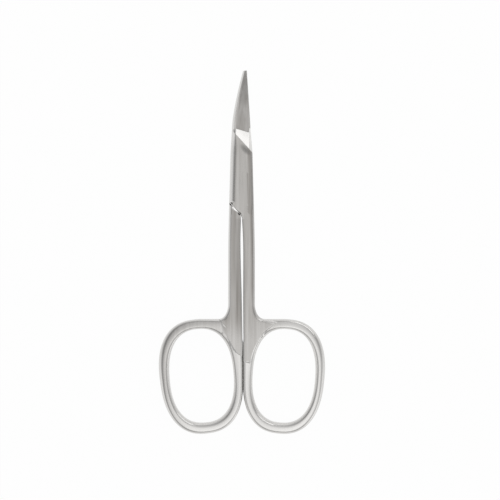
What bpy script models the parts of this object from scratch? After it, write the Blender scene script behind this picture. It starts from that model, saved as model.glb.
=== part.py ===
"""Curved nail scissors: two forged halves in a lap joint, held together by a countersunk pivot screw.

Metres, +Z up. The scissors lie flat and closed with their tips towards +Y. The origin is under the centre
of their outline, on the plane that they lie on. Each half is drawn as if it were the front one, about the
pivot and the middle of the thickness, with its shank and bow at +X and its blade leaf at +Z. The rear half
is then turned half a turn about Y.
"""
import math
from collections import namedtuple

import bmesh
import bpy
from mathutils import Matrix, Vector

# Overall sizes, measured from the pivot axis
BLADE_LENGTH = 0.028
HANDLE_LENGTH = 0.062
THICKNESS = 0.0032

# Clearances between the two halves
LEAF_GAP = 0.0003
SHOULDER_GAP = 0.0003
CONTACT_GAP = 0.00025
BLADE_HOLLOW = 0.00002

# Blades: how far they rise, where the bend starts, and the ground faces
BLADE_RISE = 0.0042
BEND_START = 0.0095
SPINE_HEIGHT_ROOT = 0.00115
SPINE_HEIGHT_TIP = 0.00055
EDGE_HEIGHT = 0.0003
RAMP_END_SPINE = 0.014
RAMP_END_EDGE = 0.0129
RIDGE_SPINE = 0.0134
RIDGE_EDGE = 0.0086
SPINE_BEVEL_ROOT = (0.00085, 0.00068)
SPINE_BEVEL_TIP = (0.00045, 0.0004)
TIP_SLANT = 0.0001
# Side of each blade's spine and cutting edge at its root and tip, and the power of the curve between them
BLADES = {
    "front_half": {"spine": (-0.00236, 0.00055, 1.7), "edge": (0.00195, 0.0013, 1.7)},
    "rear_half": {"spine": (-0.00222, -0.00136, 1.1), "edge": (0.00205, -0.0007, 1.7)},
}

# Lap joint
JOINT_HALF_WIDTH = 0.00293
JOINT_TAPER = 0.026
JOINT_FULL_WIDTH_FROM = 0.0079
JOINT_LEAF_END = 0.0074
JOINT_SOLID_END = 0.0069
JOINT_LEFT_CORNER = (0.0013, 0.0009)
JOINT_RIGHT_CORNER = (0.0017, 0.0008)
SIDE_ROUND = 0.0008
SIDE_DROP = 0.0007
FINE_ROUND = 0.00012
SHOULDER_OUTER = 0.0043
SHOULDER_INNER = 0.0076
SHOULDER_INNER_SIDE = 0.0001

# Shanks and the slit between them
SHANK_HALF_WIDTH = 0.00331
SHANK_WIDE_FROM = 0.0193
SLIT_START = 0.0084
SLIT_END = 0.0394
SLIT_WIDTH = 0.00068
SLIT_BULGE_POWER = 3
FLARE_WIDTH = 0.0023
FLARE_HEIGHT = 0.0037
FLARE_FAN = 0.0045

# Finger bows
CONTACT_SIDE = 0.00037
HOLE_LENGTH = 0.0232
BAR_TOP = 0.0025
BAR_BOTTOM = 0.0028
BOW_SQUARENESS = 2.4
BAR_FULLNESS = 2.25
BOW_DEPTH = 0.0031
# The turn round the hole up to which the top bar's outer side is level
LEVEL_UNTIL = math.radians(131)
# The turns over which the rim eases onto the straight line where the two bows meet
CONTACT_FROM = math.radians(118)
CONTACT_REACHED = math.radians(160)
# Width of each hole and of the bars on its inner and outer side, and how far hole and rim lean outwards
BOWS = {
    "front_half": {"hole": 0.01548, "inner_bar": 0.00225, "outer_bar": 0.00235,
                   "hole_lean": math.radians(3.6), "rim_lean": math.radians(5.6)},
    "rear_half": {"hole": 0.01585, "inner_bar": 0.0021, "outer_bar": 0.0025,
                  "hole_lean": math.radians(4.4), "rim_lean": math.radians(7.4)},
}

# Flat webs between the shanks and the bows
WEB_COVER = 0.0004
WEB_POINT_COVER = 0.001
WEB_POINT_CORNER = (0.0014, 0.0004)
WEB_NARROWING_POWER = 7
WEB_WIDENING_FROM = 0.5
WEB_END_DROP = 0.0003
# How far below the pivot each web's flat ends, the turns round the bow at its start and end, the widths of its
# rounded side, and how far its point reaches beyond the flare and below the top of the bow
WEBS = {
    "front_half": {"end": 0.0444, "start_turn": math.radians(117), "end_turn": math.radians(174),
                   "side_round": 0.0007, "end_round": 0.0009, "point_reach": 0.0034, "point_depth": 0.0007},
    "rear_half": {"end": 0.0431, "start_turn": math.radians(129), "end_turn": math.radians(158),
                  "side_round": 0.0013, "end_round": 0.0026, "point_reach": -0.0004, "point_depth": 0.0013},
}

# Pivot screw
SCREW_RADIUS = 0.0011
HEAD_RADIUS = 0.0017
HEAD_DEPTH = 0.0006
HEAD_RIM = 0.0001
HEAD_RECESS = 0.00006
SLOT_WIDTH = 0.00045
SLOT_DEPTH = 0.00035
RUNNING_CLEARANCE = 0.00008
FRONT_SKIN = 0.0003

# Mesh fineness
ROUND_STEPS = 3
BLADE_STEPS = 16
SHANK_STEPS = 8
FLARE_STEPS = 6
WEB_STEPS = 14
BOW_POINTS = 72
BOW_SIDES = 12
SCREW_SIDES = 32
OVERCUT = 0.001

LEAF_FLOOR = LEAF_GAP / 2
LEAF_TOP = THICKNESS / 2

# Width and drop of a rounded corner
FINE_CORNER = (FINE_ROUND, FINE_ROUND)
KEEN_CORNER = (FINE_ROUND / 2, FINE_ROUND / 2)
SIDE_CORNER = (SIDE_ROUND, SIDE_DROP)

# A cross section: its two sides, its heights at both, and its four corners from top left round to floor left
Station = namedtuple("Station", "left right tops floors corners")


def clear_scene():
    for item in list(bpy.data.objects):
        bpy.data.objects.remove(item, do_unlink=True)


def add_collection(name):
    collection = bpy.data.collections.new(name)
    bpy.context.scene.collection.children.link(collection)
    return collection


def add_material(name, colour, roughness):
    material = bpy.data.materials.new(name)
    material.use_nodes = True
    shader = material.node_tree.nodes["Principled BSDF"]
    shader.inputs["Base Color"].default_value = (*colour, 1.0)
    shader.inputs["Metallic"].default_value = 1.0
    shader.inputs["Roughness"].default_value = roughness
    return material


def add_object(name, mesh, collection):
    item = bpy.data.objects.new(name, mesh)
    collection.objects.link(item)
    return item


def as_tool(item):
    """Mark an object that only shapes another one."""
    item.hide_render = True
    item.display_type = "WIRE"
    return item


def boolean(item, tool, operation):
    modifier = item.modifiers.new(tool.name, "BOOLEAN")
    modifier.operation = operation
    modifier.solver = "EXACT"
    modifier.object = tool


def superellipse(half_width, half_length, turn, fullness=BOW_SQUARENESS):
    """Point of an upright superellipse at a turn in radians: fullness 2 is a plain ellipse."""
    power = 2 / fullness
    across = math.copysign(abs(math.cos(turn)) ** power, math.cos(turn))
    along = math.copysign(abs(math.sin(turn)) ** power, math.sin(turn))
    return Vector((half_width * across, half_length * along))


def between(start, end, share):
    return start + (end - start) * share


def pair_between(start, end, share):
    return tuple(between(first, second, share) for first, second in zip(start, end))


def eased(share):
    """A share that starts and ends softly, held between 0 and 1."""
    held = min(max(share, 0.0), 1.0)
    return held * held * (3 - 2 * held)


class Bow:
    """Outline of one finger bow, which leans outwards at the top, in the half's own frame."""

    def __init__(self, name, facing):
        shape = BOWS[name]
        self.hole = (shape["hole"] / 2, HOLE_LENGTH / 2)
        rim_width = shape["hole"] + shape["inner_bar"] + shape["outer_bar"]
        self.rim = (rim_width / 2, (HOLE_LENGTH + BAR_TOP + BAR_BOTTOM) / 2)
        self.shift = Vector(((shape["outer_bar"] - shape["inner_bar"]) / 2, (BAR_TOP - BAR_BOTTOM) / 2))
        self.hole_lean = Matrix.Rotation(-shape["hole_lean"], 2)
        self.rim_lean = Matrix.Rotation(-shape["rim_lean"], 2)
        self.centre = Vector((0, 0))
        turns = [math.tau * step / BOW_POINTS for step in range(BOW_POINTS)]
        rim = [self.rim_point(turn) for turn in turns]
        self.contact = facing * CONTACT_SIDE + CONTACT_GAP / 2
        self.centre.x = self.contact - min(point.x for point in rim)
        self.centre.y = -HANDLE_LENGTH - min(point.y for point in rim)
        self.outer_side = self.centre.x + max(point.x for point in rim)
        self.top = self.centre.y + max(point.y for point in rim)
        self.top_turn = max(turns, key=lambda turn: self.rim_point(turn).y)
        self.contact_turn = min(turns, key=lambda turn: self.rim_point(turn).x)

    def hole_point(self, turn):
        return self.centre + self.hole_lean @ superellipse(*self.hole, turn)

    def rim_point(self, turn):
        return self.centre + self.hole_lean @ self.shift + self.rim_lean @ superellipse(*self.rim, turn)

    def fitted_rim_point(self, turn):
        """Rim point, level along the top bar's outer side and straight where it meets the other bow."""
        point = self.rim_point(turn)
        if self.top_turn < turn < LEVEL_UNTIL:
            point.y = self.top
        if CONTACT_FROM < turn < self.contact_turn:
            reached = eased((turn - CONTACT_FROM) / (CONTACT_REACHED - CONTACT_FROM))
            point.x = between(point.x, self.contact, reached)
        return point

    def bar_point(self, turn, depth):
        """Point inside the bar, a depth in from the hole's side."""
        hole = self.hole_point(turn)
        return hole + (self.rim_point(turn) - hole).normalized() * depth


def slit_side(height, facing):
    """The half's side of the slit at a distance below the pivot: widest near its upper end."""
    share = min(max((height - SLIT_START) / (SLIT_END - SLIT_START), 0.0), 1.0)
    middle = facing * CONTACT_SIDE * share
    bulge = math.sin(math.pi * math.sqrt(share)) ** SLIT_BULGE_POWER
    return Vector((middle + (CONTACT_GAP + (SLIT_WIDTH - CONTACT_GAP) * bulge) / 2, -height))


def outer_side(height):
    """The half's outer side at a distance below the pivot, down to where the shank stays parallel."""
    upper = JOINT_HALF_WIDTH + JOINT_TAPER * min(height, SHOULDER_OUTER)
    share = min(max((height - SHOULDER_OUTER) / (SHANK_WIDE_FROM - SHOULDER_OUTER), 0.0), 1.0)
    return upper + (SHANK_HALF_WIDTH - upper) * math.sin(share * math.pi / 2)


def rise(point):
    """Height that the bend gives a point of a blade, by its distance from the pivot only."""
    reach = max(math.hypot(point.x, point.y) - BEND_START, 0.0) if point.y > 0 else 0.0
    length = BLADE_LENGTH - BEND_START
    radius = (length ** 2 + BLADE_RISE ** 2) / (2 * BLADE_RISE)
    return radius - math.sqrt(radius ** 2 - reach ** 2)


def swept(root, tip, power, share):
    """Side of a blade's spine or cutting edge at a share of the way from root to tip."""
    return between(root, tip, share ** power)


def blade_stations(name):
    """Sections from the tip to the foot of the ramp at the blade's root."""
    shape = BLADES[name]
    floor = LEAF_FLOOR + BLADE_HOLLOW
    stations = []
    for step in range(BLADE_STEPS + 1):
        share = 1 - step / BLADE_STEPS
        spine_end = BLADE_LENGTH - TIP_SLANT
        spine = Vector((swept(*shape["spine"], share), between(RAMP_END_SPINE, spine_end, share)))
        edge = Vector((swept(*shape["edge"], share), between(RAMP_END_EDGE, BLADE_LENGTH, share)))
        tops = (floor + between(SPINE_HEIGHT_ROOT, SPINE_HEIGHT_TIP, share), floor + EDGE_HEIGHT)
        spine_bevel = pair_between(SPINE_BEVEL_ROOT, SPINE_BEVEL_TIP, share)
        corners = (spine_bevel, KEEN_CORNER, KEEN_CORNER, KEEN_CORNER)
        stations.append(Station(spine, edge, tops, (floor, floor), corners))
    return stations


def joint_stations(name):
    """Sections from the ridge at the blade's root to the inner end of the shoulder."""
    spine, edge = BLADES[name]["spine"][0], BLADES[name]["edge"][0]
    tops = (LEAF_TOP, LEAF_TOP)
    leaf = (LEAF_FLOOR + BLADE_HOLLOW,) * 2
    solid = (-LEAF_TOP, -LEAF_TOP)
    ridge_spine = spine - JOINT_TAPER * (RAMP_END_SPINE - RIDGE_SPINE)
    ridge = Station(Vector((ridge_spine, RIDGE_SPINE)), Vector((edge, RIDGE_EDGE)), tops, leaf,
                    (JOINT_LEFT_CORNER, KEEN_CORNER, KEEN_CORNER, KEEN_CORNER))
    waist_left = Vector((ridge_spine - outer_side(-JOINT_LEAF_END), RIDGE_SPINE + JOINT_FULL_WIDTH_FROM)) / 2
    waist_right = Vector((outer_side(-JOINT_FULL_WIDTH_FROM), JOINT_FULL_WIDTH_FROM))
    leaf_corners = (JOINT_LEFT_CORNER, JOINT_RIGHT_CORNER, KEEN_CORNER, KEEN_CORNER)
    stations = [ridge, Station(waist_left, waist_right, tops, leaf, leaf_corners)]
    solid_corners = (JOINT_LEFT_CORNER, JOINT_RIGHT_CORNER, SIDE_CORNER, FINE_CORNER)
    for height, floors, corners in ((-JOINT_LEAF_END, leaf, leaf_corners),
                                    (-JOINT_SOLID_END, solid, solid_corners),
                                    (0.0, solid, solid_corners),
                                    (SHOULDER_OUTER, solid, solid_corners)):
        side = outer_side(height)
        stations.append(Station(Vector((-side, -height)), Vector((side, -height)), tops, floors, corners))
    inner = Vector((-SHOULDER_INNER_SIDE, -SHOULDER_INNER))
    opposite = Vector((outer_side(SHOULDER_INNER), -SHOULDER_INNER))
    inner_corners = (FINE_CORNER, SIDE_CORNER, SIDE_CORNER, FINE_CORNER)
    stations.append(Station(inner, opposite, tops, solid, inner_corners))
    return stations


def full_station(left, right, side_corner=SIDE_CORNER, drop=0.0):
    """Section of the whole thickness, fine at the slit and rounded at its outer side."""
    tops = (LEAF_TOP - drop,) * 2
    floors = (drop - LEAF_TOP,) * 2
    return Station(left, right, tops, floors, (FINE_CORNER, side_corner, side_corner, FINE_CORNER))


def shank_stations(facing, bow):
    """Sections down the shank and round the flare into the finger bow."""
    flare = Vector((SHANK_HALF_WIDTH + FLARE_WIDTH, bow.top + FLARE_HEIGHT))
    stations = []
    for step in range(SHANK_STEPS + 1):
        height = between(SLIT_START, -flare.y, step / SHANK_STEPS)
        stations.append(full_station(slit_side(height, facing), Vector((outer_side(height), -height))))
    for step in range(1, FLARE_STEPS + 1):
        share = step / FLARE_STEPS
        turn = math.pi * (1 + share / 2)
        right = flare + Vector((FLARE_WIDTH * math.cos(turn), FLARE_HEIGHT * math.sin(turn)))
        left = slit_side(between(-flare.y, FLARE_FAN - bow.top, share), facing)
        stations.append(full_station(left, right))
    return stations


def web_stations(name, facing, bow):
    """Sections across the flat web: to its point on the top bar, then along the hole to the end of the flat."""
    web = WEBS[name]
    point = Vector((SHANK_HALF_WIDTH + FLARE_WIDTH + web["point_reach"], bow.top - web["point_depth"]))
    spots = [(point, WEB_POINT_CORNER)]
    for step in range(WEB_STEPS + 1):
        share = step / WEB_STEPS
        widening = max(0.0, (share - WEB_WIDENING_FROM) / (1 - WEB_WIDENING_FROM)) ** 2
        side = (between(web["side_round"], web["end_round"], widening), SIDE_DROP)
        narrowing = (1 - share) ** WEB_NARROWING_POWER
        turn = between(web["start_turn"], web["end_turn"], share)
        cover = between(WEB_COVER, WEB_POINT_COVER, narrowing)
        spots.append((bow.bar_point(turn, cover), pair_between(side, WEB_POINT_CORNER, narrowing)))
    stations = []
    for index, (spot, side_corner) in enumerate(spots, start=1):
        left = slit_side(between(FLARE_FAN - bow.top, web["end"], index / len(spots)), facing)
        drop = WEB_END_DROP if index == len(spots) else 0.0
        stations.append(full_station(left, spot, side_corner, drop))
    return stations


def corner(width, drop):
    """Quarter ellipse from a side to a face: how far in and how far down each of its points lies."""
    turns = [math.pi / 2 * step / ROUND_STEPS for step in range(ROUND_STEPS + 1)]
    return [(width * (1 - math.cos(turn)), drop * (1 - math.sin(turn))) for turn in turns]


def section_points(section, facing):
    """The closed ring of points of a station, starting at its left side and going over the top."""
    across = section.right - section.left
    width = across.length
    top_left, top_right, floor_right, floor_left = section.corners
    ring = []
    for inset, drop in corner(*top_left):
        ring.append((inset, between(*section.tops, inset / width) - drop))
    for inset, drop in reversed(corner(*top_right)):
        ring.append((width - inset, between(*section.tops, 1 - inset / width) - drop))
    for inset, lift in corner(*floor_right):
        ring.append((width - inset, between(*section.floors, 1 - inset / width) + lift))
    for inset, lift in reversed(corner(*floor_left)):
        ring.append((inset, between(*section.floors, inset / width) + lift))
    points = []
    for distance, height in ring:
        spot = section.left + across * distance / width
        points.append(Vector((spot.x, spot.y, height + facing * rise(spot))))
    return points


def loft(name, rings, endless=False):
    """Closed mesh through rings of equally many points: with flat ends, or smooth and joined end to end."""
    shape = bmesh.new()
    loops = [[shape.verts.new(point) for point in ring] for ring in rings]
    count = len(loops[0])
    following_loops = loops[1:] + loops[:1] if endless else loops[1:]
    for upper, lower in zip(loops, following_loops):
        for index in range(count):
            following = (index + 1) % count
            face = shape.faces.new((upper[index], upper[following], lower[following], lower[index]))
            face.smooth = endless
    if not endless:
        shape.faces.new(reversed(loops[0]))
        shape.faces.new(loops[-1])
    bmesh.ops.recalc_face_normals(shape, faces=shape.faces)
    mesh = bpy.data.meshes.new(name)
    shape.to_mesh(mesh)
    shape.free()
    return mesh


def placement(facing):
    """Where a half's own frame lies: the rear half is turned half a turn about Y."""
    turned = Matrix.Rotation(0.0 if facing > 0 else math.pi, 4, "Y")
    return Matrix.Translation((PIVOT_X, PIVOT_Y, THICKNESS / 2)) @ turned


def mesh_from_curve(curve, tools):
    """Weld a curve's evaluated faces into a plain mesh, and drop the curve."""
    path = add_object(curve.name, curve, tools)
    bpy.context.view_layer.update()
    mesh = bpy.data.meshes.new_from_object(path.evaluated_get(bpy.context.evaluated_depsgraph_get()))
    bpy.data.objects.remove(path, do_unlink=True)
    shape = bmesh.new()
    shape.from_mesh(mesh)
    bmesh.ops.remove_doubles(shape, verts=shape.verts, dist=0.000001)
    bmesh.ops.recalc_face_normals(shape, faces=shape.faces)
    shape.to_mesh(mesh)
    shape.free()
    return mesh


def extruded(name, outline, bottom, top, tools):
    """Flat outline given a thickness from bottom to top."""
    curve = bpy.data.curves.new(name, "CURVE")
    curve.dimensions = "2D"
    curve.fill_mode = "BOTH"
    curve.extrude = (top - bottom) / 2
    spline = curve.splines.new("POLY")
    spline.points.add(len(outline) - 1)
    spline.use_cyclic_u = True
    for point, spot in zip(spline.points, outline):
        point.co = (spot.x, spot.y, 0.0, 1.0)
    mesh = mesh_from_curve(curve, tools)
    mesh.transform(Matrix.Translation((0.0, 0.0, (top + bottom) / 2)))
    return mesh


def bow_ring(name, bow, tools):
    """The finger bow: an oval bar whose width follows the hole and the rim, wider where it meets the web."""
    rings = []
    for step in range(BOW_POINTS):
        turn = math.tau * step / BOW_POINTS
        hole = bow.hole_point(turn)
        rim = bow.fitted_rim_point(turn)
        middle = (hole + rim) / 2
        ring = []
        for side in range(BOW_SIDES):
            out, up = superellipse(1, BOW_DEPTH / 2, math.tau * side / BOW_SIDES, BAR_FULLNESS)
            spot = middle + (rim - hole) / 2 * out
            ring.append(Vector((spot.x, spot.y, up)))
        rings.append(ring)
    return as_tool(add_object(name + "_bow", loft(name + "_bow", rings, True), tools))


def lap_cutter(name, tools):
    """Block that clears the room of the other half's leaf, from its shoulder to the root of the blade."""
    low = Vector((SHOULDER_INNER_SIDE, -SHOULDER_INNER))
    high = Vector((outer_side(SHOULDER_OUTER), -SHOULDER_OUTER))
    along = (high - low).normalized()
    back = Vector((along.y, -along.x)) * SHOULDER_GAP
    beyond = along * 2 * JOINT_HALF_WIDTH
    outline = [low + back - beyond, high + back + beyond]
    outline += [Vector((side, JOINT_LEAF_END)) for side in (outline[1].x, outline[0].x)]
    mesh = extruded(name + "_lap_cutter", outline, -LEAF_TOP - OVERCUT, LEAF_FLOOR, tools)
    return as_tool(add_object(name + "_lap_cutter", mesh, tools))


def turned(name, profile, collection):
    """Solid of revolution about Z from a profile that runs down its outer side."""
    mesh = bpy.data.meshes.new(name)
    edges = [(index, index + 1) for index in range(len(profile) - 1)]
    mesh.from_pydata([(radius, 0.0, height) for radius, height in profile], edges, [])
    item = add_object(name, mesh, collection)
    screw = item.modifiers.new("Turning", "SCREW")
    screw.axis = "Z"
    screw.steps = SCREW_SIDES
    screw.render_steps = SCREW_SIDES
    screw.use_smooth_shade = True
    screw.use_merge_vertices = True
    screw.merge_threshold = 0.000001
    return item


def half(name, facing, parts, tools, material):
    bow = Bow(name, facing)
    stations = blade_stations(name) + joint_stations(name)
    stations += shank_stations(facing, bow) + web_stations(name, facing, bow)
    rings = [section_points(section, facing) for section in stations]
    item = add_object(name, loft(name, rings), parts)
    item.data.materials.append(material)
    place = placement(facing)
    item.matrix_world = place
    cutter = lap_cutter(name, tools)
    cutter.matrix_world = place
    boolean(item, cutter, "DIFFERENCE")
    ring = bow_ring(name, bow, tools)
    ring.matrix_world = place
    boolean(item, ring, "UNION")
    return item


def screw_profile(grow, head_face, end):
    """Outer side of the screw from its end down to its head, or of its hole when grown."""
    return [
        (0.0, end),
        (SCREW_RADIUS + grow, end),
        (SCREW_RADIUS + grow, HEAD_RECESS + HEAD_DEPTH),
        (HEAD_RADIUS + grow, HEAD_RECESS + HEAD_RIM),
        (HEAD_RADIUS + grow, head_face),
        (0.0, head_face),
    ]


def slot_cutter(place, tools):
    """Bar that cuts the screw head's slot."""
    shape = bmesh.new()
    bmesh.ops.create_cube(shape, size=1.0)
    bmesh.ops.scale(shape, verts=shape.verts, vec=(SLOT_WIDTH, 4 * HEAD_RADIUS, SLOT_DEPTH + OVERCUT))
    bmesh.ops.translate(shape, verts=shape.verts, vec=(0.0, 0.0, HEAD_RECESS + (SLOT_DEPTH - OVERCUT) / 2))
    mesh = bpy.data.meshes.new("slot_cutter")
    shape.to_mesh(mesh)
    shape.free()
    slot = as_tool(add_object("slot_cutter", mesh, tools))
    slot.matrix_world = place
    return slot


def pivot_screw(parts, tools, material):
    """Countersunk slotted screw put in from the back, with its end blind in the front leaf."""
    place = Matrix.Translation((PIVOT_X, PIVOT_Y, 0.0))
    end = THICKNESS - FRONT_SKIN - RUNNING_CLEARANCE
    item = turned("pivot_screw", screw_profile(0.0, HEAD_RECESS, end), parts)
    item.data.materials.append(material)
    item.matrix_world = place
    boolean(item, slot_cutter(place, tools), "DIFFERENCE")
    return item


def bore_cutter(tools):
    """The screw's hole through the rear leaf and into the front one."""
    profile = screw_profile(RUNNING_CLEARANCE, -OVERCUT, THICKNESS - FRONT_SKIN)
    bore = as_tool(turned("bore_cutter", profile, tools))
    bore.matrix_world = Matrix.Translation((PIVOT_X, PIVOT_Y, 0.0))
    return bore


FRONT_BOW = Bow("front_half", 1)
REAR_BOW = Bow("rear_half", -1)
PIVOT_X = (REAR_BOW.outer_side - FRONT_BOW.outer_side) / 2
PIVOT_Y = (HANDLE_LENGTH - BLADE_LENGTH) / 2

clear_scene()
nail_scissors = add_collection("nail_scissors")
shaping_tools = add_collection("shaping_tools")
steel = add_material("satin_steel", (0.62, 0.61, 0.59), 0.28)
screw_steel = add_material("screw_steel", (0.55, 0.55, 0.54), 0.35)
pivot_screw(nail_scissors, shaping_tools, screw_steel)
bore_tool = bore_cutter(shaping_tools)
for half_name, half_facing in (("rear_half", -1), ("front_half", 1)):
    scissor_half = half(half_name, half_facing, nail_scissors, shaping_tools, steel)
    boolean(scissor_half, bore_tool, "DIFFERENCE")
bpy.context.view_layer.update()
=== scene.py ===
import math
from collections import namedtuple
from functools import partial

import bmesh
import bpy
from mathutils import Matrix, Vector


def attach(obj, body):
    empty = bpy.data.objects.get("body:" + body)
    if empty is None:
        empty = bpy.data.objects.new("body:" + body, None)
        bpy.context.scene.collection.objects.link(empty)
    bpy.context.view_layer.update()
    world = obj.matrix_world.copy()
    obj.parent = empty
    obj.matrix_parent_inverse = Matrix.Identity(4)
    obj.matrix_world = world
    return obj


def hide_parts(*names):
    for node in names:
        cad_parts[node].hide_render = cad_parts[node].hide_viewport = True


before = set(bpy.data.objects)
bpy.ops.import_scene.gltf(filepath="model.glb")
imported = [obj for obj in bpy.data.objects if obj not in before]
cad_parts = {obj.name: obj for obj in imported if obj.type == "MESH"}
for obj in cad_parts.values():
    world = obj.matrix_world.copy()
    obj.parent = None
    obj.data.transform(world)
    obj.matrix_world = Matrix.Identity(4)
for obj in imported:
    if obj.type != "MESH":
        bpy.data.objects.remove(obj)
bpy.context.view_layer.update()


# Finger bows
# Each half ends in an oval loop that is forged in one with its shank, bent outwards a little at the top and
# polished all round. Its bar is rounded, and squarer along the top, on the outer side of the bottom and where
# the two bows meet.
HANDLE_LENGTH = 0.062
THICKNESS = 0.0032
CONTACT_SIDE = 0.00037
CONTACT_GAP = 0.00001
HOLE_LENGTH = 0.0232
BAR_TOP = 0.0025
BAR_BOTTOM = 0.0028
BAR_DEPTH = 0.0031
BOW_SQUARENESS = 2.4
LEVEL_UNTIL = math.radians(131)
CONTACT_BLEND = (math.radians(118), math.radians(160))
BAR_SLOPE = 0.15
TOP_BAR_SLOPE = 1.2
BAR_FULLNESS = 2.25
TOP_BAR_FLATNESS = 1.3
TOP_BAR_POWER = 3.0
BOTTOM_BAR_FLATNESS = 1.6
CONTACT_BAR_FLATNESS = 1.6
CONTACT_BAR_TURN = math.radians(165)
CONTACT_BAR_POWER = 5.0
BOW_POINTS = 288
BAR_POINTS = 44
BOW_WELD = 0.000002
MESH_WELD = 0.0000002


def superellipse(half_width, half_length, turn):
    """Point of an oval at a turn round it. A squareness of 2 would make it an ellipse."""
    power = 2 / BOW_SQUARENESS
    across = math.copysign(abs(math.cos(turn)) ** power, math.cos(turn))
    along = math.copysign(abs(math.sin(turn)) ** power, math.sin(turn))
    return Vector((half_width * across, half_length * along))


class Bow:
    """Place and outline of one finger bow, seen in its own half's frame."""

    def __init__(self, hole_width, inner_bar, outer_bar, hole_lean, rim_lean, facing):
        self.hole = (hole_width / 2, HOLE_LENGTH / 2)
        self.rim = ((hole_width + inner_bar + outer_bar) / 2, (HOLE_LENGTH + BAR_TOP + BAR_BOTTOM) / 2)
        self.shift = Vector(((outer_bar - inner_bar) / 2, (BAR_TOP - BAR_BOTTOM) / 2))
        self.leans = (hole_lean, rim_lean)
        self.hole_tilt = Matrix.Rotation(-hole_lean, 2)
        self.rim_tilt = Matrix.Rotation(-rim_lean, 2)
        self.centre = Vector((0, 0))
        turns = [math.tau * step / BOW_POINTS for step in range(BOW_POINTS)]
        rim = [self.rim_point(turn) for turn in turns]
        self.contact = facing * CONTACT_SIDE + CONTACT_GAP / 2
        self.centre = Vector((self.contact - min(point.x for point in rim),
                              -HANDLE_LENGTH - min(point.y for point in rim)))
        self.contact_turn = min(turns, key=lambda turn: self.rim_point(turn).x)
        self.top = self.centre.y + max(point.y for point in rim)
        self.top_turn = max(turns, key=lambda turn: self.rim_point(turn).y)

    def hole_point(self, turn):
        return self.centre + self.hole_tilt @ superellipse(*self.hole, turn)

    def rim_point(self, turn):
        return self.centre + self.hole_tilt @ self.shift + self.rim_tilt @ superellipse(*self.rim, turn)

    def bar_point(self, turn, depth):
        hole = self.hole_point(turn)
        return hole + (self.rim_point(turn) - hole).normalized() * depth


def worked_out(tree, operation, first, second=0.0):
    """The result of one sum on two numbers or sockets, from a node of its own."""
    node = tree.nodes.new("ShaderNodeMath")
    node.operation = operation
    for socket, value in zip(node.inputs, (first, second)):
        if isinstance(value, (int, float)):
            socket.default_value = value
        else:
            tree.links.new(value, socket)
    return node.outputs[0]


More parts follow.
